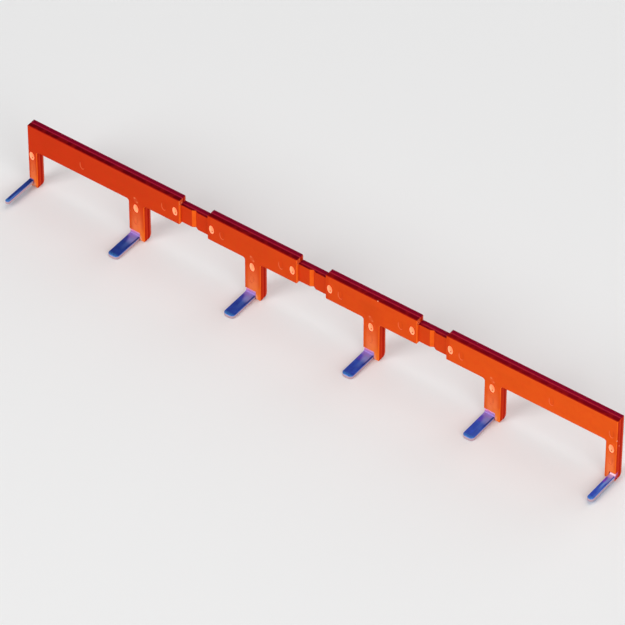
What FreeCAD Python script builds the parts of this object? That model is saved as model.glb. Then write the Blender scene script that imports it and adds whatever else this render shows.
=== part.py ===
import FreeCAD, Part
import os
from FreeCAD import Vector

# Terminal block jumper bar, 6 ways, in millimetres.
# Two moulded covers close round one stamped and bent contact comb.
# Bar coordinates: X runs from the left end, Y from the front face to the back, Z up from the resting surface.
# The finished pieces are moved so that the origin lies at the bottom centre of the whole part.

# Sizes of the moulded bar
BODY_THICKNESS = 2.0
BAR_HEIGHT = 5.9
LEG_DROP = 9.1

# Legs, measured to their left sides
PITCH = 27.0
MIDDLE_LEG_COUNT = 4
FIRST_SPAN = 23.8
LAST_SPAN = 26.45
LEG_WIDTH = 3.6
LEFT_LEG_WIDTH = 2.0
RIGHT_LEG_WIDTH = 2.35
HEEL_RADIUS = 1.0

# Necks, the lower and thinner places between the four bar segments
NECK_COUNT = 3
NECK_AFTER_LEG = 11.95
NECK_LENGTH = 6.5
NECK_DROP = 1.25
NECK_RISE = 0.5
NECK_RECESS = 0.5
BREAK_GROOVE_WIDTH = 1.35
BREAK_GROOVE_DEPTH = 0.38

# Joint between the covers
PARTING_DEPTH = 1.2
JOINT_GROOVE_WIDTH = 0.25
JOINT_GROOVE_DEPTH = 0.08

# Rounding of the mouldings
ROOT_RADIUS = 0.5
CORNER_RADIUS = 0.22
EDGE_CHAMFER = 0.1

# Upright oval windows through the front cover, which show the comb
WINDOW_WIDTH = 1.2
WINDOW_HEIGHT = 2.05
BAR_WINDOW_BELOW_TOP = 3.15
LEG_WINDOW_ABOVE_FOOT = 7.55
LEG_WINDOW_FROM_SIDE = 1.65
LEFT_LEG_WINDOW_FROM_SIDE = 0.78
RIGHT_LEG_WINDOW_FROM_SIDE = 1.19
WINDOW_BEFORE_NECK = 1.1
WINDOW_AFTER_NECK = 0.9
# Radius of an oval's ends as a part of half its width
OVAL_END_SHARE = 0.7

# Sunk ejector marks in the front face
MARK_WIDTH = 1.15
MARK_HEIGHT = 2.1
MARK_DEPTH = 0.08
MARK_BESIDE_WINDOW = 2.5
MARK_BELOW_LEG_WINDOW = 2.85
MARK_ABOVE_RIGHT_WINDOW = 3.8
SPAN_MARK_FROM_LEG = 11.0

# Contact comb
COMB_THICKNESS = 0.7
COMB_FRONT = 1.02
SPINE_HEIGHT = 2.6
STRIP_WIDTH = 2.0
STRIP_SIDE_WALL = 0.5
END_STRIP_WIDTH = 1.2
END_STRIP_SIDE_WALL = 0.4
FIT_CLEARANCE = 0.05

# Contact blades
BLADE_WIDTH = 2.4
LEFT_BLADE_WIDTH = 0.98
RIGHT_BLADE_WIDTH = 1.3
BLADE_REACH = 7.0
# How much further the end blades reach than the middle ones
LEFT_BLADE_EXTRA = 0.7
RIGHT_BLADE_EXTRA = 0.3
LEFT_BLADE_RAISE = 0.9
RIGHT_BLADE_RAISE = 0.5
BLADE_BEND_RADIUS = 0.35
BLADE_TIP_RADIUS = 0.8
# Largest part of a narrow blade's width that a tip corner takes
TIP_SHARE = 0.48
BLADE_EDGE_CHAMFER = 0.1
BLADE_SIDE_INSET = 0.05

# Foot of each strip, which slopes back at 45 degrees from the depth of the foot to the depth of the comb
FOOT_FRONT = 0.25
SLOPE_ABOVE_BEND = 0.35
STRIP_ABOVE_SLOPE = 0.1
# How far the corner of a sheet that turns by 45 degrees moves for each millimetre across the sheet
SLOPE_MITRE = 2 ** 0.5 - 1

# Top of the blade openings at the feet of the front cover
OPENING_TOP = 1.8

# Length, heights and depths that follow from the sizes above
BAR_LENGTH = FIRST_SPAN + PITCH * (MIDDLE_LEG_COUNT - 1) + LAST_SPAN + RIGHT_LEG_WIDTH
BAR_BOTTOM = LEG_DROP
BAR_TOP = BAR_BOTTOM + BAR_HEIGHT
NECK_BOTTOM = BAR_BOTTOM + NECK_RISE
NECK_TOP = BAR_TOP - NECK_DROP
SPINE_BOTTOM = (NECK_BOTTOM + NECK_TOP - SPINE_HEIGHT) / 2
SPINE_TOP = SPINE_BOTTOM + SPINE_HEIGHT
COMB_BACK = COMB_FRONT + COMB_THICKNESS
FRONT_FACE_Y = (BLADE_REACH + max(LEFT_BLADE_EXTRA, RIGHT_BLADE_EXTRA) - BODY_THICKNESS) / 2
# Above this height the strips are narrower, to clear the flush sides of the legs
SHOULDER_HEIGHT = OPENING_TOP - FIT_CLEARANCE
# How far a cutter runs past the surface that it cuts
PAST = 1.0
# Points that lie nearer than this count as one place
SAME_PLACE = 0.005


class Leg:
    """One leg of the bar with the strip and blade of the comb that belong to it."""

    def __init__(self, left, width, window, strip_left, strip_width, flush_side, blade_width, reach, raised):
        self.left = left
        self.right = left + width
        self.window = left + window
        self.strip = (strip_left, strip_left + strip_width)
        self.flush_side = flush_side
        self.blade_width = blade_width
        self.reach = reach
        self.raised = raised
        self.slope_start = raised + COMB_THICKNESS + BLADE_BEND_RADIUS + SLOPE_ABOVE_BEND
        self.foot_top = self.slope_start + COMB_FRONT - FOOT_FRONT + STRIP_ABOVE_SLOPE

    def blade(self):
        """Span of the blade in X: it stands just inside its flush side of the leg."""
        if self.flush_side == "left":
            start = self.left + BLADE_SIDE_INSET
        else:
            start = self.right - BLADE_SIDE_INSET - self.blade_width
        return start, start + self.blade_width

    def blade_pocket(self):
        """Span in X of the space for the blade, which runs out of the leg at the flush side."""
        start, end = self.blade()
        if self.flush_side == "left":
            return self.left - PAST, end + FIT_CLEARANCE
        return start - FIT_CLEARANCE, self.right + PAST

    def side_wall(self, gap):
        """Span in X of the wall beside the foot, with the space past the flush side of the leg."""
        if self.flush_side == "left":
            return self.left - 2 * PAST, self.strip[0] - gap
        return self.strip[1] + gap, self.right + 2 * PAST


def middle_leg(left):
    return Leg(left, LEG_WIDTH, LEG_WINDOW_FROM_SIDE,
               strip_left=left + STRIP_SIDE_WALL, strip_width=STRIP_WIDTH,
               flush_side="left", blade_width=BLADE_WIDTH, reach=BLADE_REACH, raised=0.0)


def left_leg():
    return Leg(0.0, LEFT_LEG_WIDTH, LEFT_LEG_WINDOW_FROM_SIDE,
               strip_left=END_STRIP_SIDE_WALL, strip_width=END_STRIP_WIDTH,
               flush_side="left", blade_width=LEFT_BLADE_WIDTH,
               reach=BLADE_REACH + LEFT_BLADE_EXTRA, raised=LEFT_BLADE_RAISE)


def right_leg():
    return Leg(BAR_LENGTH - RIGHT_LEG_WIDTH, RIGHT_LEG_WIDTH, RIGHT_LEG_WINDOW_FROM_SIDE,
               strip_left=BAR_LENGTH - END_STRIP_SIDE_WALL - END_STRIP_WIDTH, strip_width=END_STRIP_WIDTH,
               flush_side="right", blade_width=RIGHT_BLADE_WIDTH,
               reach=BLADE_REACH + RIGHT_BLADE_EXTRA, raised=RIGHT_BLADE_RAISE)


MIDDLE_LEGS = [middle_leg(FIRST_SPAN + PITCH * i) for i in range(MIDDLE_LEG_COUNT)]
LEGS = [left_leg()] + MIDDLE_LEGS + [right_leg()]
NECKS = [(leg.left + NECK_AFTER_LEG, leg.left + NECK_AFTER_LEG + NECK_LENGTH) for leg in MIDDLE_LEGS[:NECK_COUNT]]


def block(x_range, y_range, z_range):
    size = [end - start for start, end in (x_range, y_range, z_range)]
    return Part.makeBox(*size, Vector(x_range[0], y_range[0], z_range[0]))


def round_along_y(solid, places, radius):
    """Rounds the edges parallel to Y that stand at the given places in X and Z."""
    edges = []
    for edge in solid.Edges:
        ends = [vertex.Point for vertex in edge.Vertexes]
        if len(ends) != 2 or abs(ends[0].y - ends[1].y) < BODY_THICKNESS / 2:
            continue
        if any(abs(ends[0].x - x) < SAME_PLACE and abs(ends[0].z - z) < SAME_PLACE for x, z in places):
            edges.append(edge)
    return solid.makeFillet(radius, edges)


def bar_outline_solid():
    """The bar, its necks and its legs as one plate with rounded corners."""
    depth = (0.0, BODY_THICKNESS)
    starts = [0.0] + [right for left, right in NECKS]
    ends = [left for left, right in NECKS] + [BAR_LENGTH]
    plates = [block((start, end), depth, (BAR_BOTTOM, BAR_TOP)) for start, end in zip(starts, ends)]
    plates += [block(neck, depth, (NECK_BOTTOM, NECK_TOP)) for neck in NECKS]
    plates += [block((leg.left, leg.right), depth, (0.0, BAR_BOTTOM)) for leg in LEGS]
    solid = plates[0].multiFuse(plates[1:]).removeSplitter()
    roots = [(leg.right, BAR_BOTTOM) for leg in LEGS[:-1]] + [(leg.left, BAR_BOTTOM) for leg in LEGS[1:]]
    corners = [(x, z) for x in starts + ends for z in (BAR_TOP, BAR_BOTTOM)]
    corners += [(x, 0.0) for leg in LEGS for x in (leg.left, leg.right)]
    solid = round_along_y(solid, roots, ROOT_RADIUS)
    solid = round_along_y(solid, corners, CORNER_RADIUS)
    return solid.cut(heel_cutters())


def joint_groove(outline):
    """Ring that is cut all round the front cover, where it meets the rear cover."""
    front_face = min(outline.Faces, key=lambda face: face.CenterOfMass.y)
    inner_wire = front_face.OuterWire.makeOffset2D(-JOINT_GROOVE_DEPTH)
    inner = Part.Face(inner_wire).extrude(Vector(0, BODY_THICKNESS, 0))
    slab = block((-PAST, BAR_LENGTH + PAST), (PARTING_DEPTH - JOINT_GROOVE_WIDTH, PARTING_DEPTH), (-PAST, BAR_TOP + PAST))
    return slab.cut(inner)


def oval_cutter(x, z, width, height, depth):
    """Upright oval of two end arcs and two flatter side arcs, from in front of the bar to the given depth."""
    half_width, half_height = width / 2, height / 2
    end_radius = OVAL_END_SHARE * half_width
    end_rise = half_height - end_radius
    side_radius = (half_width ** 2 + half_height ** 2 - 2 * half_height * end_radius) / (half_width - end_radius) / 2
    side_shift = side_radius - half_width
    reach = side_radius / (side_radius - end_radius)
    join_x, join_z = side_shift * (reach - 1), end_rise * reach

    def at(across, rise):
        return Vector(x + across, -PAST, z + rise)

    edges = [
        Part.Arc(at(join_x, join_z), at(0, half_height), at(-join_x, join_z)).toShape(),
        Part.Arc(at(-join_x, join_z), at(-half_width, 0), at(-join_x, -join_z)).toShape(),
        Part.Arc(at(-join_x, -join_z), at(0, -half_height), at(join_x, -join_z)).toShape(),
        Part.Arc(at(join_x, -join_z), at(half_width, 0), at(join_x, join_z)).toShape(),
    ]
    return Part.Face(Part.Wire(edges)).extrude(Vector(0, depth + PAST, 0))


def window_places():
    """Window centres: one in every leg and one at each side of every neck."""
    bar_height = BAR_TOP - BAR_WINDOW_BELOW_TOP
    places = [(leg.window, LEG_WINDOW_ABOVE_FOOT) for leg in LEGS]
    for left, right in NECKS:
        places.append((left - WINDOW_BEFORE_NECK, bar_height))
        places.append((right + WINDOW_AFTER_NECK, bar_height))
    return places


def mark_places():
    """Centres of the ejector marks, which lie near the windows and in the middle of the two long spans."""
    bar_height = BAR_TOP - BAR_WINDOW_BELOW_TOP
    places = [(leg.window, LEG_WINDOW_ABOVE_FOOT - MARK_BELOW_LEG_WINDOW) for leg in LEGS]
    places.append((LEGS[-1].window, LEG_WINDOW_ABOVE_FOOT + MARK_ABOVE_RIGHT_WINDOW))
    places.append((LEGS[0].right + SPAN_MARK_FROM_LEG, bar_height))
    places.append((LEGS[-2].right + SPAN_MARK_FROM_LEG, bar_height))
    for left, right in NECKS:
        places.append((left - WINDOW_BEFORE_NECK - MARK_BESIDE_WINDOW, bar_height))
        places.append((right + WINDOW_AFTER_NECK + MARK_BESIDE_WINDOW, bar_height))
    return places


def mark_cutters():
    return [oval_cutter(x, z, MARK_WIDTH, MARK_HEIGHT, MARK_DEPTH) for x, z in mark_places()]


def window_cutters():
    return [oval_cutter(x, z, WINDOW_WIDTH, WINDOW_HEIGHT, COMB_FRONT) for x, z in window_places()]


def neck_cutters():
    """Recess over each neck, with the break groove across it."""
    cutters = []
    for left, right in NECKS:
        cutters.append(block((left, right), (-PAST, NECK_RECESS), (0.0, BAR_TOP + PAST)))
        middle = (left + right) / 2
        half = BREAK_GROOVE_WIDTH / 2
        groove = Part.makePolygon([
            Vector(middle - half, NECK_RECESS, 0.0),
            Vector(middle + half, NECK_RECESS, 0.0),
            Vector(middle, NECK_RECESS + BREAK_GROOVE_DEPTH, 0.0),
            Vector(middle - half, NECK_RECESS, 0.0),
        ])
        cutters.append(Part.Face(groove).extrude(Vector(0, 0, BAR_TOP)))
    return cutters


def heel_cutters():
    """What the rounded heel of each leg takes off its rear bottom edge."""
    cutters = []
    for leg in LEGS:
        centre_y = BODY_THICKNESS - HEEL_RADIUS
        length = leg.right - leg.left + 2 * PAST
        corner = block((leg.left - PAST, leg.right + PAST), (centre_y, BODY_THICKNESS + PAST), (-PAST, HEEL_RADIUS))
        start = Vector(leg.left - 2 * PAST, centre_y, HEEL_RADIUS)
        cutters.append(corner.cut(Part.makeCylinder(HEEL_RADIUS, length + 2 * PAST, start, Vector(1, 0, 0))))
    return cutters


def blade_openings():
    """Opening in the foot of the front cover for each blade: open below, except over the sill of a raised blade."""
    cutters = []
    for leg in LEGS:
        bottom = leg.raised - FIT_CLEARANCE if leg.raised > 0 else -PAST
        cutters.append(block(leg.blade_pocket(), (-PAST, FOOT_FRONT + COMB_THICKNESS / 2), (bottom, OPENING_TOP)))
    return cutters


def sloping_face(leg, offset):
    """Where the face at an offset behind the front of the foot starts to slope back, and where it stops."""
    turn = leg.slope_start - offset * SLOPE_MITRE
    return [(FOOT_FRONT + offset, turn), (COMB_FRONT + offset, turn + COMB_FRONT - FOOT_FRONT)]


def blade_and_foot(leg, gap):
    """Foot of one strip, bent forward into its blade. A gap above zero gives the space that the piece needs."""
    left, right = leg.blade_pocket() if gap > 0 else leg.blade()
    front, back = FOOT_FRONT - gap, FOOT_FRONT + COMB_THICKNESS + gap
    low, high = leg.raised - gap, leg.raised + COMB_THICKNESS + gap
    inner = BLADE_BEND_RADIUS - gap
    outer = BLADE_BEND_RADIUS + COMB_THICKNESS + gap
    top = leg.foot_top + gap
    slant = 0.5 ** 0.5

    def at(y, z):
        return Vector(left, y, z)

    inner_y, inner_z = front - inner, high + inner
    outer_y, outer_z = back - outer, low + outer
    up_front = [(front, inner_z)] + sloping_face(leg, -gap) + [(COMB_FRONT - gap, top)]
    up_back = [(back, outer_z)] + sloping_face(leg, COMB_THICKNESS + gap) + [(COMB_BACK + gap, top)]
    corners = [at(y, z) for y, z in up_front + up_back[::-1]]
    edges = [Part.LineSegment(start, end).toShape() for start, end in zip(corners, corners[1:])]
    edges += [
        Part.Arc(at(back, outer_z), at(outer_y + outer * slant, outer_z - outer * slant), at(outer_y, low)).toShape(),
        Part.LineSegment(at(outer_y, low), at(-leg.reach, low)).toShape(),
        Part.LineSegment(at(-leg.reach, low), at(-leg.reach, high)).toShape(),
        Part.LineSegment(at(-leg.reach, high), at(inner_y, high)).toShape(),
        Part.Arc(at(inner_y, high), at(inner_y + inner * slant, inner_z - inner * slant), at(front, inner_z)).toShape(),
    ]
    bent_strip = Part.Face(Part.Wire(edges)).extrude(Vector(right - left, 0, 0))
    above = block(leg.side_wall(gap), (-leg.reach, COMB_BACK + PAST), (SHOULDER_HEIGHT + gap, top + PAST))
    return bent_strip.cut(above)


def rounded_blade(leg):
    """Foot and blade with the rounded tip and the softened upper edges of a stamped contact."""
    solid = blade_and_foot(leg, 0.0)
    tip = [edge for edge in solid.Edges
           if all(abs(vertex.Y + leg.reach) < SAME_PLACE for vertex in edge.Vertexes)
           and abs(edge.Vertexes[0].X - edge.Vertexes[-1].X) < SAME_PLACE]
    solid = solid.makeFillet(min(BLADE_TIP_RADIUS, TIP_SHARE * leg.blade_width), tip)
    high = leg.raised + COMB_THICKNESS
    rim = [edge for edge in solid.Edges
           if all(abs(vertex.Z - high) < SAME_PLACE for vertex in edge.Vertexes)
           and min(vertex.Y for vertex in edge.Vertexes) < FOOT_FRONT - 2 * BLADE_BEND_RADIUS]
    return solid.makeChamfer(BLADE_EDGE_CHAMFER, rim)


def comb(gap):
    """Contact comb, or with a gap above zero the space that it needs inside the covers."""
    depth = (COMB_FRONT - gap, COMB_BACK + gap)
    spine_ends = (LEGS[0].strip[0] - gap, LEGS[-1].strip[1] + gap)
    pieces = [block(spine_ends, depth, (SPINE_BOTTOM - gap, SPINE_TOP + gap))]
    for leg in LEGS:
        strip = (leg.strip[0] - gap, leg.strip[1] + gap)
        pieces.append(block(strip, depth, (leg.foot_top, SPINE_TOP)))
        pieces.append(blade_and_foot(leg, gap) if gap > 0 else rounded_blade(leg))
    return pieces[0].multiFuse(pieces[1:]).removeSplitter()


def front_rim(solid):
    """Edges that bound the front face, which are broken."""
    return [edge for edge in solid.Edges if all(abs(vertex.Y) < SAME_PLACE for vertex in edge.Vertexes)]


def front_cover(outline, pocket):
    slab = block((-PAST, BAR_LENGTH + PAST), (0.0, PARTING_DEPTH), (-PAST, BAR_TOP + PAST))
    cover = outline.common(slab).cut(neck_cutters())
    cover = cover.makeChamfer(EDGE_CHAMFER, front_rim(cover))
    cover = cover.cut(joint_groove(outline))
    return cover.cut(mark_cutters() + window_cutters() + blade_openings()).cut(pocket)


def rear_cover(outline, pocket):
    slab = block((-PAST, BAR_LENGTH + PAST), (PARTING_DEPTH, BODY_THICKNESS), (-PAST, BAR_TOP + PAST))
    return outline.common(slab).cut(pocket)


def main():
    outline = bar_outline_solid()
    pocket = comb(FIT_CLEARANCE)
    pieces = {
        "front_cover": front_cover(outline, pocket),
        "rear_cover": rear_cover(outline, pocket),
        "contact_comb": comb(0.0),
    }
    os.makedirs("parts", exist_ok=True)
    for name, shape in pieces.items():
        shape.translate(Vector(-BAR_LENGTH / 2, FRONT_FACE_Y, 0.0))
        shape.exportStep("parts/" + name + ".step")
        box = shape.BoundBox
        print(name, "solids", len(shape.Solids), "valid", shape.isValid(), "volume", round(shape.Volume, 2),
              "X", round(box.XMin, 3), round(box.XMax, 3), "Y", round(box.YMin, 3), round(box.YMax, 3),
              "Z", round(box.ZMin, 3), round(box.ZMax, 3))


main()
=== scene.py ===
import math

import bpy
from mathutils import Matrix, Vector


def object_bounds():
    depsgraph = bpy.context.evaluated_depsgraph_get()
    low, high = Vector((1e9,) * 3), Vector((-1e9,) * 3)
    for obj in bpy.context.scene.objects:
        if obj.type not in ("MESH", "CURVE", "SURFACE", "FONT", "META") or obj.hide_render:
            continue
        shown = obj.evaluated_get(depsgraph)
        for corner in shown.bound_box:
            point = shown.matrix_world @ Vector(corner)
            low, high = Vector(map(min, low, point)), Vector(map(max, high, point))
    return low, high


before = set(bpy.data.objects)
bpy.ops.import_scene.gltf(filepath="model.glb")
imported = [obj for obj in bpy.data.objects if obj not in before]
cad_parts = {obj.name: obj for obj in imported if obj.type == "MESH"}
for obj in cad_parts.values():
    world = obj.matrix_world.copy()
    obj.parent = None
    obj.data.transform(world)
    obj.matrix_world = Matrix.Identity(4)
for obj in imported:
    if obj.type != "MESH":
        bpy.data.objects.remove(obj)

CAD_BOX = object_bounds()

# Bar coordinates in millimetres: X from the left end, Y back from the front face, Z up from the floor
MM = 0.001
BAR_LENGTH = 133.6
THICKNESS = 2.0
FRONT_FACE = CAD_BOX[1][1] / MM - THICKNESS
BAR_BOTTOM = 9.1
LEG_LEFTS = [0.0, 23.8, 50.8, 77.8, 104.8, 131.25]
LEG_WIDTHS = [2.0, 3.6, 3.6, 3.6, 3.6, 2.35]
NECKS = [(35.75, 42.25), (62.75, 69.25), (89.75, 96.25)]
NECK_TOP = 13.75
JOINT_GROOVE = (0.95, 1.2)

# Windows, measured from the left side of each leg and from the ends of each neck
LEG_WINDOWS = [0.78, 1.65, 1.65, 1.65, 1.65, 1.19]
WINDOW_SIZE = (1.2, 2.05)
LEG_WINDOW_HEIGHT = 7.55
BAR_WINDOW_HEIGHT = 11.85
WINDOW_BEFORE_NECK = 1.1
WINDOW_AFTER_NECK = 0.9
# Painted patch of light in a window, laid on as a dark dot: offset across from the middle, depth behind the
# front face, offset up
LIGHT_DOT = (-0.23, 0.59, -0.94)
WINDOWS_WITHOUT_LIGHT_DOT = (1, 2)

# Ejector marks
MARK_SIZE = (1.15, 2.1)
MARK_BESIDE_WINDOW = 2.5
MARK_BELOW_LEG_WINDOW = 2.85
MARK_ABOVE_LEG_WINDOW = 3.8
SPAN_MARK_FROM_LEG = 11.0
SMALL_MARK_SIZE = (0.95, 1.3)
SMALL_MARK_ABOVE_LEG_WINDOW = 2.2
SMALL_SPECKS = [(-0.2, 2.6), (0.4, 1.8)]

# Contact blades, one value for each leg
BLADE_LEFTS = [0.05, 23.85, 50.85, 77.85, 104.85, 132.25]
BLADE_WIDTHS = [0.98, 2.4, 2.4, 2.4, 2.4, 1.3]
BLADE_TIPS = [-7.7, -7.0, -7.0, -7.0, -7.0, -7.3]
BLADE_TOPS = [1.6, 0.7, 0.7, 0.7, 0.7, 1.2]
# How far beside a leg its values still count
BESIDE_LEG = 1.0
# Here the colours change from those of the other legs to those of the right leg
TO_RIGHT_LEG = (128.0, 131.0)
TO_OTHER_LEGS = (131.0, 128.0)

# How strongly each blade shows its painted reflections: of its leg, a light streak, a pale root, a violet
# left side and a light right side at the tip, and where across the blade the streak runs
LEG_REFLECTION_BY_LEG = [0.0, 0.9, 0.9, 0.9, 0.9, 0.75]
STREAK_REFLECTION_BY_LEG = [0.0, 0.2, 0.2, 0.25, 0.2, 0.85]
ROOT_REFLECTION_BY_LEG = [0.0, 0.6, 0.6, 0.6, 0.7, 0.95]
VIOLET_REFLECTION_BY_LEG = [0.0, 0.1, 0.1, 0.3, 0.3, 0.8]
TIP_REFLECTION_BY_LEG = [0.75, 0.0, 0.0, 0.0, 0.15, 0.45]
STREAK_SHARES = [0.85, 0.62, 0.62, 0.62, 0.62, 0.55]

# Places along the bar between which the colours of the covers, the tops and the metal change
COVER_CHANGE = (-20.0, 150.0)
TOP_CHANGE = (20.0, 130.0)
METAL_CHANGE = (-40.0, 150.0)

# How far a true normal has to lean for a face to count, from not at all to fully
LOOKS_RIGHT = (0.2, 0.45)
LOOKS_UP = (0.3, 0.8)

# Single spots on the front cover, each with its place and radius
SHADE_SPOT = ((79.5, 0.0, 11.5), 3.6)
PALE_SPECKS = [
    ((81.0, 0.0, 15.0), 0.16),
    ((133.6, 0.1, 10.1), 0.14),
    ((133.6, 0.76, 8.4), 0.14),
]


def srgb(red, green, blue):
    """Linear colour with full alpha from display values of 0 to 255."""
    def linear(value):
        value /= 255
        return value / 12.92 if value <= 0.04045 else ((value + 0.055) / 1.055) ** 2.4
    return (linear(red), linear(green), linear(blue), 1.0)


BLACK = srgb(0, 0, 0)
WHITE = srgb(255, 255, 255)

# Covers, with two colours where the colour changes from the left to the right end
FRONT_COVER = (srgb(205, 53, 19), srgb(235, 90, 25))
REAR_COVER = (srgb(190, 40, 16), srgb(220, 70, 22))
# Painted light: the upper faces get dark colours of their own for how the light falls on them
TOP_SHADING = (srgb(94, 0, 8), srgb(118, 2, 14))
TOP_REAR_SHADING = srgb(134, 4, 46)
TOP_JOINT = srgb(172, 34, 74)
TOP_FRONT_SHADING = srgb(146, 8, 8)
# Painted shade on the faces that look down
UNDERSIDE_SHADE = srgb(196, 70, 44)
# Painted light and shade in stripes on the sides that look right
SIDE_FRONT_SHADING = srgb(204, 45, 6)
SIDE_JOINT = srgb(212, 56, 28)
SIDE_REAR_SHADING = srgb(184, 24, 10)
SIDE_BACK_EDGE_SHADING = srgb(214, 84, 56)
BLOTCH = srgb(222, 40, 26)
SHADE = srgb(150, 30, 10)
PALE_SPECK = srgb(255, 190, 156)

# Painted shade on the front faces of the legs, toward the feet and beside the blades
LEG_LOW_SHADE = srgb(240, 104, 40)
LEG_MIDDLE_SHADE = srgb(255, 132, 78)
LEG_FOOT_SHADE = srgb(255, 126, 40)
BESIDE_BLADE_SHADE = srgb(255, 186, 160)

# Marks, necks and broken edges, with painted shading on the mark rims, the neck walls and ends and the
# edges
MARK_INSIDE_SHADING = srgb(186, 50, 16)
MARK_RIM_SHADING = srgb(252, 142, 92)
SMALL_MARK = srgb(240, 128, 84)
SMALL_SPECK = srgb(255, 158, 108)
NECK_GROUND = srgb(206, 52, 18)
BESIDE_NECK = srgb(206, 50, 16)
NECK_WALL_SHADOW = srgb(250, 106, 28)
NECK_END_SHADING = srgb(222, 74, 30)
NECK_END_SPECK = srgb(255, 146, 110)
EDGE_RIGHT_SHADING = srgb(255, 112, 34)
EDGE_LEFT_SHADING = srgb(206, 126, 88)
EDGE_UPPER_SHADING = srgb(172, 30, 16)
EDGE_LOWER_SHADING = srgb(224, 124, 86)

# Windows: pale painted shade of the deep holes, a light of their own, the lip, and a dark dot of painted
# light
WINDOW_SHADE = srgb(255, 198, 160)
WINDOW_EMISSION = srgb(150, 102, 78)
WINDOW_LIP = srgb(184, 64, 22)
WINDOW_LIGHT_DOT = srgb(120, 80, 60)

# Metal, with two colours where the colour changes from the left to the right
METAL_DEEP = (srgb(0, 22, 96), srgb(28, 50, 164))
METAL_BRIGHT = (srgb(4, 54, 140), srgb(60, 100, 212))
# Painted reflections on the upper faces of the blades
LEG_REFLECTION = (srgb(104, 64, 190), srgb(146, 154, 228))
STREAK_REFLECTION = srgb(116, 160, 230)
ROOT_REFLECTION = (srgb(176, 144, 220), srgb(224, 176, 222))
VIOLET_REFLECTION = srgb(140, 56, 206)
TIP_REFLECTION = srgb(86, 134, 212)
TIP_RIM = srgb(62, 140, 204)
DARK_REFLECTION_STRIP = srgb(10, 12, 104)
# Painted shading on the broken edges of the blades
BROKEN_EDGE_SHADING = srgb(96, 128, 204)
# Painted reflections on the feet, and painted shading over the bend
FOOT_REFLECTION = (srgb(240, 146, 198), srgb(212, 170, 216))
RIGHT_FOOT_REFLECTION = srgb(246, 206, 222)
BEND_SHADING = srgb(160, 126, 200)
# Painted shading on the sides of the blades and of the feet
BLADE_SIDE_SHADING = srgb(198, 170, 180)
INNER_SIDE_SHADING = srgb(190, 60, 120)

# Gloss of the covers, the metal and the floor
COVER_ROUGHNESS = (0.5, 0.64)
COVER_SPECULAR = 0.015
METAL_ROUGHNESS = (0.34, 0.5)
METAL_SPECULAR = 0.15
METAL_SHARE = 0.25
FLOOR_ROUGHNESS = 0.8
FLOOR_SPECULAR = 0.1

# Floor, in metres and linear grey
FLOOR_REACH = 3.0
FLOOR_HEIGHT = -0.02 * MM
FLOOR_GREY = (0.86, 0.86, 0.86, 1.0)

# Lamps: name, place and width in metres, power in watts
LAMPS = [
    ("key", (-0.35, -0.75, 0.55), 0.5, 4.1),
    ("fill", (0.8, -0.35, 0.5), 0.6, 3.4),
    ("top", (0.0, 0.35, 0.9), 0.7, 2.2),
    ("back", (0.2, 0.9, 0.5), 0.6, 1.8),
]

# Strength of the surroundings as light, and as they are seen
WORLD_LIGHT = 0.33
WORLD_SEEN = 0.86

# Camera: angles in degrees, lengths in millimetres, clipping in metres
CAMERA_AZIMUTH = 36.356
CAMERA_ELEVATION = 43.482
CAMERA_AIM = (-0.467, FRONT_FACE, 3.921)
CAMERA_DISTANCE = 1081.19
CAMERA_LENS = 339.24
CAMERA_SENSOR = 36.0
CAMERA_CLIP = (0.05, 20.0)

# Sockets of the node that mixes two colours
MIX_FACTOR, MIX_FIRST, MIX_SECOND = 0, 6, 7
MIX_RESULT = 2
# Least share that the oval distance divides by
LEAST_SHARE = 0.01


def window_places():
    """Window centres in X and Z: one in every leg and one at each side of every neck."""
    places = [(left + offset, LEG_WINDOW_HEIGHT) for left, offset in zip(LEG_LEFTS, LEG_WINDOWS)]
    for left, right in NECKS:
        places.append((left - WINDOW_BEFORE_NECK, BAR_WINDOW_HEIGHT))
        places.append((right + WINDOW_AFTER_NECK, BAR_WINDOW_HEIGHT))
    return places


def mark_places():
    """Centres of the ejector marks: near the windows and in the middle of the two long spans."""
    places = [(left + offset, LEG_WINDOW_HEIGHT - MARK_BELOW_LEG_WINDOW)
              for left, offset in zip(LEG_LEFTS, LEG_WINDOWS)]
    places.append((LEG_LEFTS[-1] + LEG_WINDOWS[-1], LEG_WINDOW_HEIGHT + MARK_ABOVE_LEG_WINDOW))
    places.append((LEG_LEFTS[0] + LEG_WIDTHS[0] + SPAN_MARK_FROM_LEG, BAR_WINDOW_HEIGHT))
    places.append((LEG_LEFTS[-2] + LEG_WIDTHS[-2] + SPAN_MARK_FROM_LEG, BAR_WINDOW_HEIGHT))
    for left, right in NECKS:
        places.append((left - WINDOW_BEFORE_NECK - MARK_BESIDE_WINDOW, BAR_WINDOW_HEIGHT))
        places.append((right + WINDOW_AFTER_NECK + MARK_BESIDE_WINDOW, BAR_WINDOW_HEIGHT))
    return places


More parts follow.
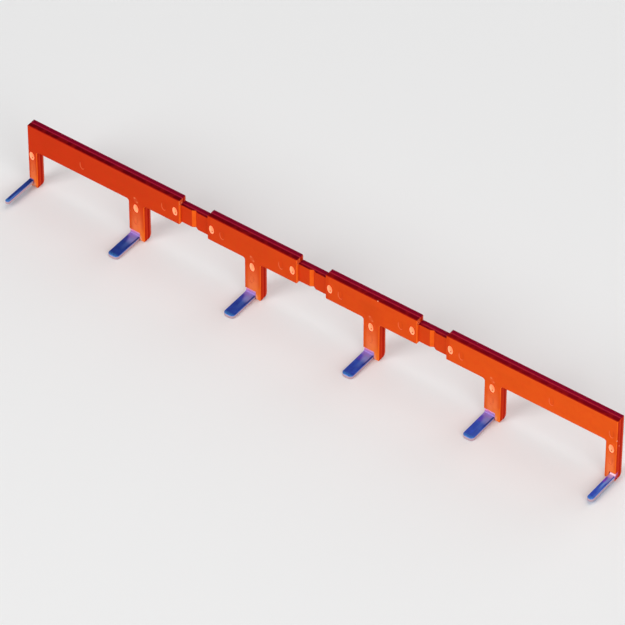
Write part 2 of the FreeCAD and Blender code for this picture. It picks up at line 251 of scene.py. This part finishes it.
class Paint:
    """Builds one node material, with short names for the nodes that it needs."""

    def __init__(self, name):
        self.material = bpy.data.materials.new(name)
        self.material.use_nodes = True
        self.tree = self.material.node_tree
        self.shader = self.tree.nodes["Principled BSDF"]
        coordinates = self.tree.nodes.new("ShaderNodeTexCoord").outputs["Object"]
        scaled = self.vector("MULTIPLY", coordinates, (1 / MM, 1 / MM, 1 / MM))
        self.place = self.vector("ADD", scaled, (BAR_LENGTH / 2, -FRONT_FACE, 0.0))
        self.x, self.y, self.z = self.split(self.place)
        normal = self.tree.nodes.new("ShaderNodeNewGeometry").outputs["True Normal"]
        self.normal_x, self.normal_y, self.normal_z = self.split(normal)

    def feed(self, socket, value):
        """Links another node's output to a socket, or sets a constant on it."""
        if isinstance(value, bpy.types.NodeSocket):
            self.tree.links.new(value, socket)
        else:
            socket.default_value = value

    def split(self, vector):
        node = self.tree.nodes.new("ShaderNodeSeparateXYZ")
        self.feed(node.inputs[0], vector)
        return node.outputs[0], node.outputs[1], node.outputs[2]

    def join(self, x, y, z):
        node = self.tree.nodes.new("ShaderNodeCombineXYZ")
        for socket, value in zip(node.inputs, (x, y, z)):
            self.feed(socket, value)
        return node.outputs[0]

    def vector(self, operation, *values):
        node = self.tree.nodes.new("ShaderNodeVectorMath")
        node.operation = operation
        for socket, value in zip(node.inputs, values):
            self.feed(socket, value)
        return node.outputs["Value" if operation == "LENGTH" else "Vector"]

    def math(self, operation, *values):
        node = self.tree.nodes.new("ShaderNodeMath")
        node.operation = operation
        for socket, value in zip(node.inputs, values):
            self.feed(socket, value)
        return node.outputs[0]

    def step(self, value, start, end):
        """Rises smoothly from 0 at start to 1 at end, also where end is the lower of the two."""
        node = self.tree.nodes.new("ShaderNodeMapRange")
        node.interpolation_type = "SMOOTHSTEP"
        falling = end < start
        settings = {
            "Value": value,
            "From Min": min(start, end),
            "From Max": max(start, end),
            "To Min": float(falling),
            "To Max": float(not falling),
        }
        for name, setting in settings.items():
            self.feed(node.inputs[name], setting)
        return node.outputs[0]

    def band(self, value, start, end, soft):
        """1 between start and end, with soft edges."""
        rise = self.step(value, start - soft, start + soft)
        fall = self.step(value, end + soft, end - soft)
        return self.math("MULTIPLY", rise, fall)

    def all_of(self, *masks):
        result = masks[0]
        for mask in masks[1:]:
            result = self.math("MULTIPLY", result, mask)
        return result

    def any_of(self, *masks):
        result = masks[0]
        for mask in masks[1:]:
            result = self.math("MAXIMUM", result, mask)
        return result

    def noise(self, scale, detail=3.0, stretch=(1.0, 1.0, 1.0)):
        node = self.tree.nodes.new("ShaderNodeTexNoise")
        self.feed(node.inputs["Vector"], self.vector("MULTIPLY", self.place, stretch))
        node.inputs["Scale"].default_value = scale
        node.inputs["Detail"].default_value = detail
        return node.outputs["Fac"]

    def mix(self, factor, first, second):
        """The first colour where the factor is 0 and the second where it is 1."""
        node = self.tree.nodes.new("ShaderNodeMix")
        node.data_type = "RGBA"
        self.feed(node.inputs[MIX_FACTOR], factor)
        self.feed(node.inputs[MIX_FIRST], first)
        self.feed(node.inputs[MIX_SECOND], second)
        return node.outputs[MIX_RESULT]

    def lay(self, colour, painted, *masks, strength=1.0):
        """Lays the painted colour over the colour where all the masks are 1, at the given strength."""
        if strength < 1.0:
            masks += (strength,)
        return self.mix(self.all_of(*masks), colour, painted)

    def vary(self, colour, noise, strength):
        """Makes the colour lighter and darker with a noise that lies round one half."""
        node = self.tree.nodes.new("ShaderNodeHueSaturation")
        swing = self.math("MULTIPLY_ADD", noise, 2 * strength, 1 - strength)
        self.feed(node.inputs["Value"], swing)
        self.feed(node.inputs["Color"], colour)
        return node.outputs[0]

    def oval(self, x, z, size):
        """Distance in millimetres outside an upright ellipse, below zero inside it."""
        width, height = size
        across = self.math("SUBTRACT", self.x, x)
        rise = self.math("SUBTRACT", self.z, z)
        reach = self.vector("LENGTH", self.join(across, 0.0, rise))
        share_across = self.math("DIVIDE", across, width / 2)
        share_up = self.math("DIVIDE", rise, height / 2)
        share = self.vector("LENGTH", self.join(share_across, 0.0, share_up))
        to_rim = self.math("DIVIDE", reach, self.math("MAXIMUM", share, LEAST_SHARE))
        return self.math("SUBTRACT", reach, to_rim)

    def spot(self, place, radius, core):
        """1 in the core of a ball, which is a share of its radius, and fading to its surface."""
        distance = self.vector("LENGTH", self.vector("SUBTRACT", self.place, place))
        return self.step(distance, radius, core * radius)

    def per_leg(self, values):
        """The value of the leg that is near, and 0 away from all legs."""
        total = 0.0
        for left, width, value in zip(LEG_LEFTS, LEG_WIDTHS, values):
            past_left = self.math("GREATER_THAN", self.x, left - BESIDE_LEG)
            before_right = self.math("LESS_THAN", self.x, left + width + BESIDE_LEG)
            total = self.math("MULTIPLY_ADD", self.math("MULTIPLY", past_left, before_right), value, total)
        return total

    def share_across(self, lefts, widths):
        """0 at the left side and 1 at the right side of the near leg's front or blade."""
        across = self.math("SUBTRACT", self.x, self.per_leg(lefts))
        return self.math("DIVIDE", across, self.per_leg(widths))

    def bump(self, height, strength, distance):
        """Fine relief, with its distance in millimetres."""
        node = self.tree.nodes.new("ShaderNodeBump")
        node.inputs["Strength"].default_value = strength
        node.inputs["Distance"].default_value = distance * MM
        self.feed(node.inputs["Height"], height)
        self.feed(self.shader.inputs["Normal"], node.outputs[0])

    def lift(self, mask):
        """A soft light of its own for the windows, which look bright although they lie deep."""
        self.feed(self.shader.inputs["Emission Color"], self.mix(mask, BLACK, WINDOW_EMISSION))
        self.shader.inputs["Emission Strength"].default_value = 1.0

    def finish(self, colour, rough_noise, roughness):
        """Sets the colour, and the roughness between a lowest and a highest value."""
        lowest, highest = roughness
        self.feed(self.shader.inputs["Base Color"], colour)
        rough = self.math("MULTIPLY_ADD", rough_noise, highest - lowest, lowest)
        self.feed(self.shader.inputs["Roughness"], rough)


def cover_grain(paint):
    """Moulding grain, slow flow marks and the gloss that both covers share."""
    grain = paint.noise(scale=9.0, detail=4.0)
    flow = paint.noise(scale=0.35, detail=2.0, stretch=(0.4, 1.0, 1.0))
    paint.bump(grain, strength=0.12, distance=0.03)
    paint.shader.inputs["Specular IOR Level"].default_value = COVER_SPECULAR
    return grain, flow


def top_shading(paint):
    """Painted light: the upper faces are dark maroon for how the light falls on them, lighter to the right,
    with a thin lighter line along the joint.
    """
    groove_front, groove_back = JOINT_GROOVE
    rear = paint.step(paint.y, groove_front - 0.2, groove_back)
    line = paint.band(paint.y, groove_front + 0.05, groove_back, soft=0.05)
    front = paint.step(paint.y, 0.3, 0.1)
    colour = paint.mix(paint.step(paint.x, *TOP_CHANGE), *TOP_SHADING)
    colour = paint.lay(colour, TOP_REAR_SHADING, rear, strength=0.6)
    colour = paint.lay(colour, TOP_JOINT, line, strength=0.7)
    return paint.lay(colour, TOP_FRONT_SHADING, front, strength=0.7)


def side_shading(paint):
    """Painted light and shade: the right sides run in stripes from the front to the back, for how the light
    falls on them.
    """
    joint = paint.band(paint.y, 0.68, 1.2, soft=0.06)
    rear = paint.band(paint.y, 1.2, 1.58, soft=0.06)
    back_edge = paint.step(paint.y, 1.56, 1.75)
    colour = paint.lay(SIDE_FRONT_SHADING, SIDE_JOINT, joint)
    colour = paint.lay(colour, SIDE_REAR_SHADING, rear)
    return paint.lay(colour, SIDE_BACK_EDGE_SHADING, back_edge)


def leg_front_shade(paint, colour):
    """Painted shade: the leg fronts grow lighter and pinker to the foot, most of all right of their middle,
    and beside the blades.
    """
    share = paint.share_across(LEG_LEFTS, LEG_WIDTHS)
    low = paint.step(paint.z, 9.6, 1.0)
    middle = paint.band(share, 0.2, 0.82, soft=0.16)
    foot = paint.step(paint.z, 4.2, 1.2)
    right_half = paint.band(share, 0.52, 1.1, soft=0.14)
    colour = paint.lay(colour, LEG_LOW_SHADE, low, strength=0.45)
    colour = paint.lay(colour, LEG_MIDDLE_SHADE, low, middle, strength=0.9)
    colour = paint.lay(colour, LEG_FOOT_SHADE, foot, right_half, strength=0.75)

    # Painted shade beside the right edge of each blade, at the height of the blade
    blade_rights = [left + width for left, width in zip(BLADE_LEFTS, BLADE_WIDTHS)]
    past_blade = paint.math("SUBTRACT", paint.x, paint.per_leg(blade_rights))
    beside_blade = paint.all_of(paint.step(past_blade, 0.75, 0.1), paint.step(past_blade, -0.4, 0.0))
    at_blade = paint.step(paint.z, 1.6, 0.7)
    return paint.lay(colour, BESIDE_BLADE_SHADE, beside_blade, at_blade, strength=0.65)


def mark_rims(paint, colour):
    """Painted shading of the sunk ejector marks: a light colour on their left and lower rims, and darker at
    their right.
    """
    for x, z in mark_places():
        distance = paint.oval(x, z, MARK_SIZE)
        across = paint.math("SUBTRACT", paint.x, x)
        rise = paint.math("SUBTRACT", paint.z, z)
        inside = paint.step(distance, 0.0, -0.1)
        right = paint.step(across, 0.0, 0.4)
        rim = paint.band(distance, -0.1, 0.04, soft=0.05)
        lower_left = paint.step(paint.math("MULTIPLY_ADD", rise, 0.7, across), 0.1, -0.6)
        light = 0.6 if z > BAR_BOTTOM else 0.35
        colour = paint.lay(colour, MARK_INSIDE_SHADING, inside, right, strength=0.2)
        # Painted shading along the left and lower rims of the mark
        colour = paint.lay(colour, MARK_RIM_SHADING, rim, lower_left, strength=light)
    return colour


def small_marks(paint, colour):
    """Faint small marks with two pale specks above the windows of the middle legs."""
    for left, window in list(zip(LEG_LEFTS, LEG_WINDOWS))[1:-1]:
        x = left + window
        distance = paint.oval(x, LEG_WINDOW_HEIGHT + SMALL_MARK_ABOVE_LEG_WINDOW, SMALL_MARK_SIZE)
        inside = paint.step(distance, 0.05, -0.1)
        specks = [paint.spot((x + across, 0.0, LEG_WINDOW_HEIGHT + above), radius=0.32, core=0.3)
                  for across, above in SMALL_SPECKS]
        colour = paint.lay(colour, SMALL_MARK, inside, strength=0.15)
        colour = paint.lay(colour, SMALL_SPECK, paint.any_of(*specks), strength=0.38)
    return colour


def neck_colours(paint, colour, looks_right):
    """Redder ground, a painted shadow in bright orange on the walls that look right, and lighter painted
    shading on the end faces above the necks.
    """
    end_noise = paint.step(paint.noise(scale=3.5, detail=2.0), 0.5, 0.62)
    for left, right in NECKS:
        over_neck = paint.band(paint.x, left, right, soft=0.05)
        sunk = paint.step(paint.y, 0.2, 0.4)
        beside_neck = paint.band(paint.x, right, right + 0.7, soft=0.2)
        near_front = paint.step(paint.y, 0.1, 0.02)
        colour = paint.lay(colour, NECK_GROUND, over_neck, sunk, strength=0.5)
        colour = paint.lay(colour, BESIDE_NECK, beside_neck, near_front, strength=0.4)

        # Painted shadow on the walls in the necks that look right
        at_wall = paint.band(paint.x, left - 0.15, right - 0.2, soft=0.05)
        below_top = paint.step(paint.z, NECK_TOP + 0.05, NECK_TOP - 0.1)
        before_joint = paint.step(paint.y, 1.0, 0.9)
        colour = paint.lay(colour, NECK_WALL_SHADOW, looks_right, at_wall, below_top, before_joint)

        # Painted shading on the end faces above the necks, with pale specks
        at_end = paint.band(paint.x, left - 0.4, left + 0.1, soft=0.05)
        above_top = paint.step(paint.z, NECK_TOP - 0.1, NECK_TOP + 0.05)
        end_face = paint.all_of(looks_right, at_end, above_top)
        colour = paint.lay(colour, NECK_END_SHADING, end_face)
        colour = paint.lay(colour, NECK_END_SPECK, end_face, end_noise, strength=0.7)
    return colour


def edge_lines(paint, colour):
    """Thin painted lines of light and shade along the broken front edges, a colour for each way they face,
    on the left edges only away from the necks.
    """
    broken = paint.all_of(paint.step(paint.normal_y, -0.35, -0.55), paint.step(paint.y, 0.14, 0.11))
    looks_right = paint.step(paint.normal_x, 0.4, 0.6)
    looks_left = paint.step(paint.normal_x, -0.4, -0.6)
    looks_up = paint.step(paint.normal_z, 0.4, 0.6)
    looks_down = paint.step(paint.normal_z, -0.4, -0.6)
    on_bar = paint.step(paint.z, BAR_BOTTOM + 0.1, BAR_BOTTOM + 0.5)
    past_left_end = paint.step(paint.x, 0.5, 1.0)
    away_from_necks = paint.math("SUBTRACT", 1.0, paint.all_of(on_bar, past_left_end))
    colour = paint.lay(colour, EDGE_RIGHT_SHADING, broken, looks_right)
    colour = paint.lay(colour, EDGE_LEFT_SHADING, broken, looks_left, away_from_necks)
    colour = paint.lay(colour, EDGE_UPPER_SHADING, broken, looks_up)
    return paint.lay(colour, EDGE_LOWER_SHADING, broken, looks_down)


def single_spots(paint, colour, faces_front):
    """A shade over the third middle leg, and pale specks on the upper edge and on the right end."""
    shade = paint.spot(*SHADE_SPOT, core=0.2)
    specks = [paint.spot(place, radius, core=0.6) for place, radius in PALE_SPECKS]
    colour = paint.lay(colour, SHADE, shade, faces_front, strength=0.09)
    return paint.lay(colour, PALE_SPECK, paint.any_of(*specks))


def window_colours(paint, colour):
    """Pale walls of painted shade in the deep windows behind a darker lip, with a dark dot of painted light
    low in most of them, and a light of their own.
    """
    ovals = [paint.step(paint.oval(x, z, WINDOW_SIZE), 0.09, 0.07) for x, z in window_places()]
    inside = paint.any_of(*ovals)
    lip = paint.step(paint.y, 0.01, 0.03)
    walls = paint.all_of(inside, paint.step(paint.y, 0.1, 0.2))
    across, depth, rise = LIGHT_DOT
    dots = [paint.spot((x + across, depth, z + rise), radius=0.2, core=0.4)
            for index, (x, z) in enumerate(window_places()) if index not in WINDOWS_WITHOUT_LIGHT_DOT]
    dot = paint.any_of(*dots)
    colour = paint.lay(colour, WINDOW_LIP, inside, lip)
    colour = paint.lay(colour, WINDOW_SHADE, walls)
    colour = paint.lay(colour, WINDOW_LIGHT_DOT, dot, strength=0.9)
    paint.lift(paint.math("SUBTRACT", walls, paint.math("MINIMUM", walls, dot)))
    return colour


def front_cover_material():
    paint = Paint("orange_red_plastic")
    grain, flow = cover_grain(paint)
    faces_front = paint.step(paint.normal_y, -0.3, -0.8)
    on_legs = paint.step(paint.z, BAR_BOTTOM + 0.3, BAR_BOTTOM - 0.3)
    colour = paint.mix(paint.step(paint.x, *COVER_CHANGE), *FRONT_COVER)
    colour = paint.lay(colour, leg_front_shade(paint, colour), faces_front, on_legs)
    colour = mark_rims(paint, colour)
    colour = small_marks(paint, colour)

    # Painted light: faces that look right, up and down get colours of their own for how the light falls on
    # them
    looks_right = paint.step(paint.normal_x, *LOOKS_RIGHT)
    looks_up = paint.step(paint.normal_z, *LOOKS_UP)
    looks_down = paint.step(paint.normal_z, -0.7, -0.9)
    behind_edge = paint.step(paint.y, 0.05, 0.12)
    behind_marks = paint.step(paint.y, 0.085, 0.1)
    colour = paint.lay(colour, side_shading(paint), looks_right, behind_edge)
    colour = neck_colours(paint, colour, looks_right)
    colour = paint.lay(colour, top_shading(paint), looks_up, behind_marks)
    colour = paint.lay(colour, UNDERSIDE_SHADE, looks_down)
    colour = edge_lines(paint, colour)

    blotches = paint.step(paint.noise(scale=0.8), 0.45, 0.65)
    colour = paint.lay(colour, BLOTCH, blotches, strength=0.12)
    colour = paint.vary(colour, flow, strength=0.07)
    colour = paint.vary(colour, grain, strength=0.06)
    colour = single_spots(paint, colour, faces_front)
    colour = window_colours(paint, colour)
    paint.finish(colour, grain, roughness=COVER_ROUGHNESS)
    return paint.material


def rear_cover_material():
    paint = Paint("dark_red_plastic")
    grain, flow = cover_grain(paint)
    # Painted light: faces that look right and up get colours of their own for how the light falls on them
    looks_right = paint.step(paint.normal_x, *LOOKS_RIGHT)
    looks_up = paint.step(paint.normal_z, *LOOKS_UP)
    colour = paint.mix(paint.step(paint.x, *COVER_CHANGE), *REAR_COVER)
    colour = paint.lay(colour, side_shading(paint), looks_right)
    colour = paint.lay(colour, top_shading(paint), looks_up)
    colour = paint.vary(colour, flow, strength=0.06)
    colour = paint.vary(colour, grain, strength=0.05)
    paint.finish(colour, grain, roughness=COVER_ROUGHNESS)
    return paint.material


def blade_shine(paint, colour, share):
    """Painted reflections of the legs and painted streaks on the upper faces of the blades, with a strength
    for each blade.
    """
    faces_up = paint.step(paint.normal_z, 0.75, 0.9)

    # The painted reflection of the leg reaches further out at the right of the blade
    lean = paint.math("MULTIPLY_ADD", paint.step(share, 0.1, 0.5), 1.5, paint.y)
    near_leg = paint.step(lean, -1.4, 0.1)
    leg_reflection = paint.mix(paint.step(share, 0.05, 0.6), *LEG_REFLECTION)
    colour = paint.lay(colour, leg_reflection, faces_up, near_leg, paint.per_leg(LEG_REFLECTION_BY_LEG))

    off_streak = paint.math("ABSOLUTE", paint.math("SUBTRACT", share, paint.per_leg(STREAK_SHARES)))
    on_streak = paint.step(off_streak, 0.26, 0.06)
    behind_tip = paint.step(paint.y, -5.4, -2.4)
    colour = paint.lay(colour, STREAK_REFLECTION, faces_up, on_streak, behind_tip, paint.per_leg(STREAK_REFLECTION_BY_LEG))

    at_root = paint.step(paint.y, -1.2, -0.2)
    not_right_edge = paint.step(share, 0.95, 0.6)
    root = paint.mix(paint.step(paint.x, *TO_RIGHT_LEG), *ROOT_REFLECTION)
    colour = paint.lay(colour, root, faces_up, at_root, not_right_edge, paint.per_leg(ROOT_REFLECTION_BY_LEG))

    before_root = paint.band(paint.y, -2.3, -1.1, soft=0.4)
    left_side = paint.step(share, 0.65, 0.2)
    colour = paint.lay(colour, VIOLET_REFLECTION, faces_up, before_root, left_side, paint.per_leg(VIOLET_REFLECTION_BY_LEG))

    from_tip = paint.math("SUBTRACT", paint.y, paint.per_leg(BLADE_TIPS))
    right_side = paint.step(share, 0.5, 0.85)
    near_tip = paint.step(from_tip, 5.0, 2.0)
    colour = paint.lay(colour, TIP_REFLECTION, faces_up, right_side, near_tip, paint.per_leg(TIP_REFLECTION_BY_LEG))

    # Painted reflection along the right edge near the root, laid on as a dark strip
    right_edge = paint.step(share, 0.82, 0.9)
    rear_half = paint.step(paint.y, -4.0, -2.0)
    colour = paint.lay(colour, DARK_REFLECTION_STRIP, faces_up, right_edge, rear_half, strength=0.85)

    # The tips have a lighter rim, broken up by noise
    at_tip = paint.step(from_tip, 1.0, 0.2)
    patchy = paint.step(paint.noise(scale=3.0, stretch=(1.0, 3.0, 1.0)), 0.3, 0.6)
    return paint.lay(colour, TIP_RIM, at_tip, patchy, strength=0.85)


def foot_shading(paint, share):
    """Painted reflections on the standing feet, pink at the left and lavender at the right, with darker
    painted shading over the bend.
    """
    above_blade = paint.math("SUBTRACT", paint.z, paint.per_leg(BLADE_TOPS))
    over_bend = paint.step(above_blade, 0.42, 0.22)
    other_legs = paint.step(paint.x, *TO_OTHER_LEGS)
    colour = paint.mix(share, *FOOT_REFLECTION)
    colour = paint.lay(colour, RIGHT_FOOT_REFLECTION, paint.step(paint.x, *TO_RIGHT_LEG))
    return paint.lay(colour, BEND_SHADING, over_bend, other_legs)


def contact_material():
    paint = Paint("blue_contact_metal")
    streaks = paint.noise(scale=5.0, stretch=(1.0, 0.12, 1.0))
    patches = paint.noise(scale=0.9, detail=2.0)
    share = paint.share_across(BLADE_LEFTS, BLADE_WIDTHS)

    # Deep blue, a little lighter to the right end
    to_right = paint.step(paint.x, *METAL_CHANGE)
    colour = paint.mix(patches, paint.mix(to_right, *METAL_DEEP), paint.mix(to_right, *METAL_BRIGHT))
    colour = paint.vary(colour, streaks, strength=0.35)
    colour = blade_shine(paint, colour, share)
    # Painted shading on the broken edges of the blades, which lean up
    edge = paint.band(paint.normal_z, 0.5, 0.9, soft=0.1)
    before_foot = paint.step(paint.y, 0.1, -0.2)
    colour = paint.lay(colour, BROKEN_EDGE_SHADING, edge, before_foot, strength=0.6)

    behind_blade = paint.step(paint.y, -0.12, 0.12)
    below_strip = paint.step(paint.z, 3.4, 3.2)
    colour = paint.lay(colour, foot_shading(paint, share), behind_blade, below_strip)

    # Painted shading: the sides of the blades are pale grey, and those of the feet that look right are pink
    standing = paint.step(paint.math("ABSOLUTE", paint.normal_z), 0.4, 0.2)
    on_blade = paint.step(paint.y, 0.0, -0.3)
    looks_right = paint.step(paint.normal_x, 0.6, 0.9)
    on_foot = paint.step(paint.y, -0.2, 0.1)
    colour = paint.lay(colour, BLADE_SIDE_SHADING, standing, on_blade)
    colour = paint.lay(colour, INNER_SIDE_SHADING, looks_right, on_foot)

    # The windows show the comb as pale ovals of painted shade, with a light of their own
    in_windows = paint.all_of(paint.step(paint.y, 0.8, 0.95), paint.step(paint.z, 3.4, 3.8))
    pale = paint.vary(WINDOW_SHADE, paint.noise(scale=2.2, detail=2.0), strength=0.08)
    colour = paint.lay(colour, pale, in_windows)
    paint.lift(in_windows)

    paint.shader.inputs["Metallic"].default_value = METAL_SHARE
    paint.shader.inputs["Specular IOR Level"].default_value = METAL_SPECULAR
    paint.bump(streaks, strength=0.15, distance=0.04)
    paint.finish(colour, streaks, roughness=METAL_ROUGHNESS)
    return paint.material


def floor_material():
    """Plain pale floor that can be looked through from below."""
    material = bpy.data.materials.new("pale_floor")
    material.use_nodes = True
    tree = material.node_tree
    shader = tree.nodes["Principled BSDF"]
    clear = tree.nodes.new("ShaderNodeBsdfTransparent")
    either = tree.nodes.new("ShaderNodeMixShader")
    side = tree.nodes.new("ShaderNodeNewGeometry").outputs["Backfacing"]
    for socket, source in zip(either.inputs, (side, shader.outputs[0], clear.outputs[0])):
        tree.links.new(source, socket)
    tree.links.new(either.outputs[0], tree.nodes["Material Output"].inputs["Surface"])
    shader.inputs["Base Color"].default_value = FLOOR_GREY
    shader.inputs["Roughness"].default_value = FLOOR_ROUGHNESS
    shader.inputs["Specular IOR Level"].default_value = FLOOR_SPECULAR
    return material


def dress(node, material):
    """Gives a CAD node its material."""
    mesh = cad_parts[node].data
    mesh.materials.clear()
    mesh.materials.append(material)


def floor():
    """Square floor just below the part."""
    mesh = bpy.data.meshes.new("floor")
    square = ((-1, -1), (1, -1), (1, 1), (-1, 1))
    corners = [(x * FLOOR_REACH, y * FLOOR_REACH, FLOOR_HEIGHT) for x, y in square]
    mesh.from_pydata(corners, [], [(0, 1, 2, 3)])
    mesh.materials.append(floor_material())
    plane = bpy.data.objects.new("floor", mesh)
    bpy.context.scene.collection.objects.link(plane)


def softbox(name, place, width, power):
    """Square area light that looks at the middle of the bar."""
    data = bpy.data.lights.new(name, "AREA")
    data.shape = "SQUARE"
    data.size = width
    data.energy = power
    lamp = bpy.data.objects.new(name, data)
    lamp.location = place
    lamp.rotation_mode = "QUATERNION"
    lamp.rotation_quaternion = (-Vector(place)).to_track_quat("-Z", "Y")
    bpy.context.scene.collection.objects.link(lamp)


def surroundings():
    """White world that lights the part softly, and is brighter where it is seen or reflected."""
    world = bpy.data.worlds.new("studio")
    world.use_nodes = True
    tree = world.node_tree
    background = tree.nodes["Background"]
    background.inputs["Color"].default_value = WHITE
    rays = tree.nodes.new("ShaderNodeLightPath")
    seen = rays.outputs["Is Camera Ray"]
    for ray in ("Is Glossy Ray", "Is Transmission Ray"):
        either = tree.nodes.new("ShaderNodeMath")
        either.operation = "MAXIMUM"
        tree.links.new(seen, either.inputs[0])
        tree.links.new(rays.outputs[ray], either.inputs[1])
        seen = either.outputs[0]
    strength = tree.nodes.new("ShaderNodeMapRange")
    tree.links.new(seen, strength.inputs["Value"])
    strength.inputs["To Min"].default_value = WORLD_LIGHT
    strength.inputs["To Max"].default_value = WORLD_SEEN
    tree.links.new(strength.outputs[0], background.inputs["Strength"])
    bpy.context.scene.world = world


def camera():
    """Long lens at the photograph's angle, without shift."""
    azimuth = math.radians(CAMERA_AZIMUTH)
    elevation = math.radians(CAMERA_ELEVATION)
    level = math.cos(elevation)
    back = Vector((math.sin(azimuth) * level, -math.cos(azimuth) * level, math.sin(elevation)))
    data = bpy.data.cameras.new("camera")
    data.sensor_width = CAMERA_SENSOR
    data.lens = CAMERA_LENS
    data.clip_start, data.clip_end = CAMERA_CLIP
    view = bpy.data.objects.new("camera", data)
    view.location = Vector(CAMERA_AIM) * MM + back * CAMERA_DISTANCE * MM
    view.rotation_mode = "QUATERNION"
    view.rotation_quaternion = (-back).to_track_quat("-Z", "Y")
    bpy.context.scene.collection.objects.link(view)
    bpy.context.scene.camera = view


dress("front_cover", front_cover_material())
dress("rear_cover", rear_cover_material())
dress("contact_comb", contact_material())
floor()
for lamp_settings in LAMPS:
    softbox(*lamp_settings)
surroundings()
camera()
bpy.context.scene.view_settings.view_transform = "Standard"
